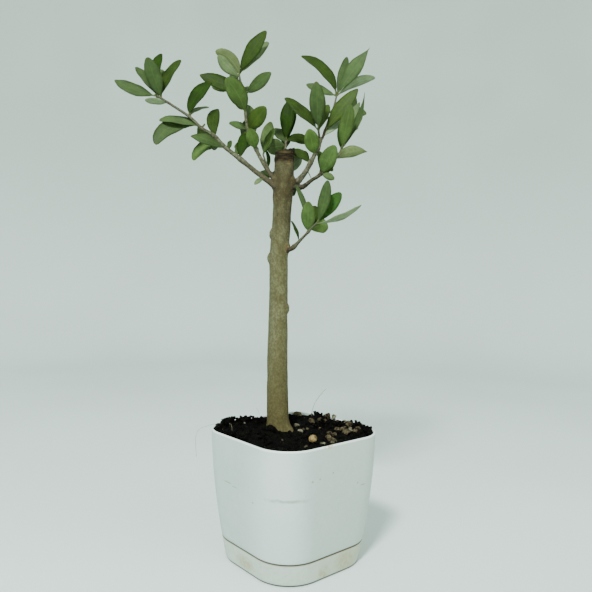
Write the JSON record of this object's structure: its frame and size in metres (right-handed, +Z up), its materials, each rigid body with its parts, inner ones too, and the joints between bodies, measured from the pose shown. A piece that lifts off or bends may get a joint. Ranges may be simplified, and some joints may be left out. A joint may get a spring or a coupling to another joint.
{
  "type": "potted olive bonsai",
  "caption": "Young olive grown as a bonsai: a sawn-off trunk with slender leafy shoots, planted in a rounded square plastic pot that stands in its own water tray.",
  "frame": {"origin": "the middle of the water tray's flat underside, on the surface that the pot stands on", "axes": "+Z up along the trunk, the front of the plant faces -Y, and +X is to the right when seen from the front"},
  "size_m": [0.2071, 0.1421, 0.4311],
  "materials": {
    "white_plastic": "satin white with a faint grey-green shade",
    "tray_plastic": "satin white, slightly yellowed",
    "potting_soil": "moist, near black, crumbly",
    "olive_bark": "fine-grained rough bark",
    "young_bark": "smooth grey-brown young bark",
    "olive_leaf": "leathery green leaves, paler below"
  },
  "bodies": {
    "root": {"water_tray": "tray_plastic", "pot": "white_plastic", "soil": "potting_soil", "trunk": "olive_bark", "bough_left": "young_bark", "bough_middle": "young_bark", "bough_right": "young_bark", "bough_right_front": "young_bark", "bough_low": "young_bark", "foliage_left": "olive_leaf", "foliage_left_tip": "olive_leaf", "foliage_middle_low": "olive_leaf", "foliage_middle_top": "olive_leaf", "foliage_inner": "olive_leaf", "foliage_back": "olive_leaf", "foliage_right_low": "olive_leaf", "foliage_right_inner": "olive_leaf", "foliage_right_top": "olive_leaf", "foliage_right_front": "olive_leaf", "foliage_low": "olive_leaf"}
  },
  "joints": []
}
